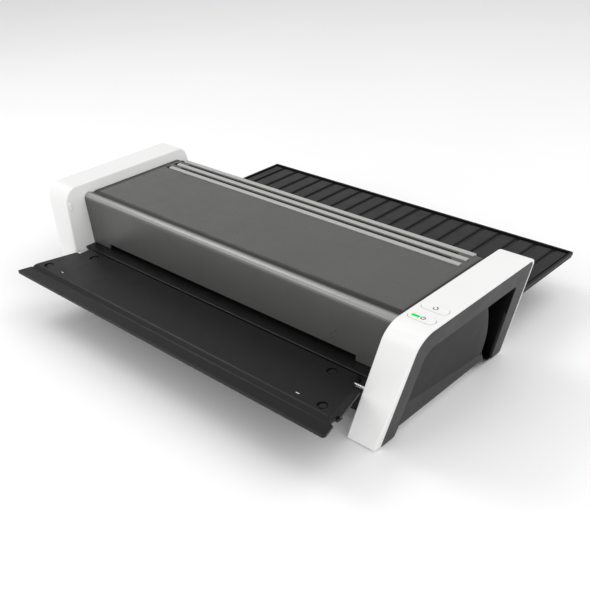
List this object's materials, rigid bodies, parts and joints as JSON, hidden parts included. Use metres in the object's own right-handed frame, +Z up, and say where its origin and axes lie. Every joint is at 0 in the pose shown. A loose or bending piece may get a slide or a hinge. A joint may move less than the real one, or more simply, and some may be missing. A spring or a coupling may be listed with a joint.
{
  "type": "pouch laminator",
  "caption": "Desk-top pouch laminator with flared end casings, a folding front tray, a swing-over exit tray, two keys and geared heated and pull rollers.",
  "frame": {"origin": "on the table, under the middle of the machine's overall box with both trays open", "axes": "+X to the machine's right, +Y to its rear (exit side), +Z up"},
  "size_m": [0.492, 0.383, 0.1146],
  "materials": {
    "white_shell": "satin",
    "anthracite_cover": "fine grain",
    "side_grey": "fine grain",
    "black_plastic": "satin",
    "inner_black": "matt",
    "silver_trim": "satin silver paint",
    "plated_steel": "zinc plated",
    "bright_steel": "ground",
    "red_silicone": "matt",
    "grey_silicone": "matt",
    "gear_nylon": "satin",
    "heater_aluminium": "mill finish",
    "heater_mica": "matt",
    "motor_can": "plated",
    "circuit_board": "solder mask",
    "switch_black": "matt",
    "foot_rubber": "matt",
    "key_white": "satin",
    "light_green": "clear lens"
  },
  "bodies": {
    "chassis": {"left_casing": "white_shell", "right_casing": "white_shell", "left_side_cover": "side_grey", "right_side_cover": "side_grey", "left_grip_liner": "black_plastic", "right_grip_liner": "black_plastic", "top_cover": "anthracite_cover", "vent_bar_front": "silver_trim", "vent_bar_middle": "silver_trim", "vent_bar_rear": "silver_trim", "base_housing": "inner_black", "rubber_feet": "foot_rubber", "entry_deck": "black_plastic", "entry_guide_upper": "inner_black", "center_guide_lower": "plated_steel", "center_guide_upper": "plated_steel", "exit_guide_lower": "inner_black", "exit_guide_upper": "inner_black", "left_chassis_plate": "plated_steel", "right_chassis_plate": "plated_steel", "tie_rods": "bright_steel", "roller_bushes": "gear_nylon", "nip_springs": "bright_steel", "spring_seats": "plated_steel", "idler_post": "bright_steel", "motor_bracket": "plated_steel", "motor": "motor_can", "upper_heater_shroud": "heater_aluminium", "lower_heater_shroud": "heater_aluminium", "upper_heating_element": "heater_mica", "lower_heating_element": "heater_mica", "thermostat": "motor_can", "power_board": "circuit_board", "control_board": "circuit_board", "key_switches": "switch_black", "mains_inlet": "black_plastic", "inlet_pins": "bright_steel", "chassis_screws": "plated_steel"},
    "front_tray": {"front_tray": "black_plastic", "tray_hinge_pins": "bright_steel"},
    "exit_tray": {"exit_tray": "black_plastic", "lid_hinge_pins": "bright_steel"},
    "power_key": {"power_key": "key_white", "power_light": "light_green"},
    "reverse_key": {"reverse_key": "key_white"},
    "lower_hot": {"lower_hot_roller": "red_silicone", "lower_hot_shaft": "bright_steel", "lower_hot_gear": "gear_nylon"},
    "upper_hot": {"upper_hot_roller": "red_silicone", "upper_hot_shaft": "bright_steel", "upper_hot_gear": "gear_nylon"},
    "lower_pull": {"lower_pull_roller": "grey_silicone", "lower_pull_shaft": "bright_steel", "lower_pull_gear": "gear_nylon"},
    "upper_pull": {"upper_pull_roller": "grey_silicone", "upper_pull_shaft": "bright_steel", "upper_pull_gear": "gear_nylon"},
    "idler": {"idler_gear": "gear_nylon"},
    "pinion": {"motor_pinion": "gear_nylon", "motor_shaft": "bright_steel"}
  },
  "joints": [
    {"name": "front_tray_hinge", "type": "hinge", "parent": "chassis", "child": "front_tray", "pos_m": [0, -0.126, 0.05], "axis": [-1, 0, 0], "range_deg": [0, 97]},
    {"name": "exit_tray_hinge", "type": "hinge", "parent": "chassis", "child": "exit_tray", "pos_m": [0, 0.0385, 0.0788], "axis": [1, 0, 0], "range_deg": [0, 180]},
    {"name": "power_key_press", "type": "slide", "parent": "chassis", "child": "power_key", "axis": [0, 0, -1], "range_m": [0, 0.0006], "stiffness_N_per_m": 1500, "springref_m": -0.0003},
    {"name": "reverse_key_press", "type": "slide", "parent": "chassis", "child": "reverse_key", "axis": [0, 0, -1], "range_m": [0, 0.0006], "stiffness_N_per_m": 1500, "springref_m": -0.0003},
    {"name": "lower_hot_spin", "type": "hinge", "parent": "chassis", "child": "lower_hot", "pos_m": [0, -0.0555, 0.04385], "axis": [1, 0, 0], "continuous": true},
    {"name": "upper_hot_spin", "type": "hinge", "parent": "chassis", "child": "upper_hot", "pos_m": [0, -0.0555, 0.06815], "axis": [1, 0, 0], "continuous": true},
    {"name": "lower_pull_spin", "type": "hinge", "parent": "chassis", "child": "lower_pull", "pos_m": [0, 0.0045, 0.04385], "axis": [1, 0, 0], "continuous": true},
    {"name": "upper_pull_spin", "type": "hinge", "parent": "chassis", "child": "upper_pull", "pos_m": [0, 0.0045, 0.06815], "axis": [1, 0, 0], "continuous": true},
    {"name": "idler_spin", "type": "hinge", "parent": "chassis", "child": "idler", "pos_m": [0, -0.0255, 0.04385], "axis": [1, 0, 0], "continuous": true},
    {"name": "pinion_spin", "type": "hinge", "parent": "chassis", "child": "pinion", "pos_m": [0, -0.0255, 0.06785], "axis": [1, 0, 0], "continuous": true}
  ],
  "couplings": [
    {"joint": "upper_hot_spin", "follows": "lower_hot_spin", "ratio": -1},
    {"joint": "lower_pull_spin", "follows": "lower_hot_spin", "ratio": 1},
    {"joint": "upper_pull_spin", "follows": "lower_hot_spin", "ratio": -1},
    {"joint": "idler_spin", "follows": "lower_hot_spin", "ratio": -0.66667},
    {"joint": "pinion_spin", "follows": "lower_hot_spin", "ratio": 2}
  ]
}
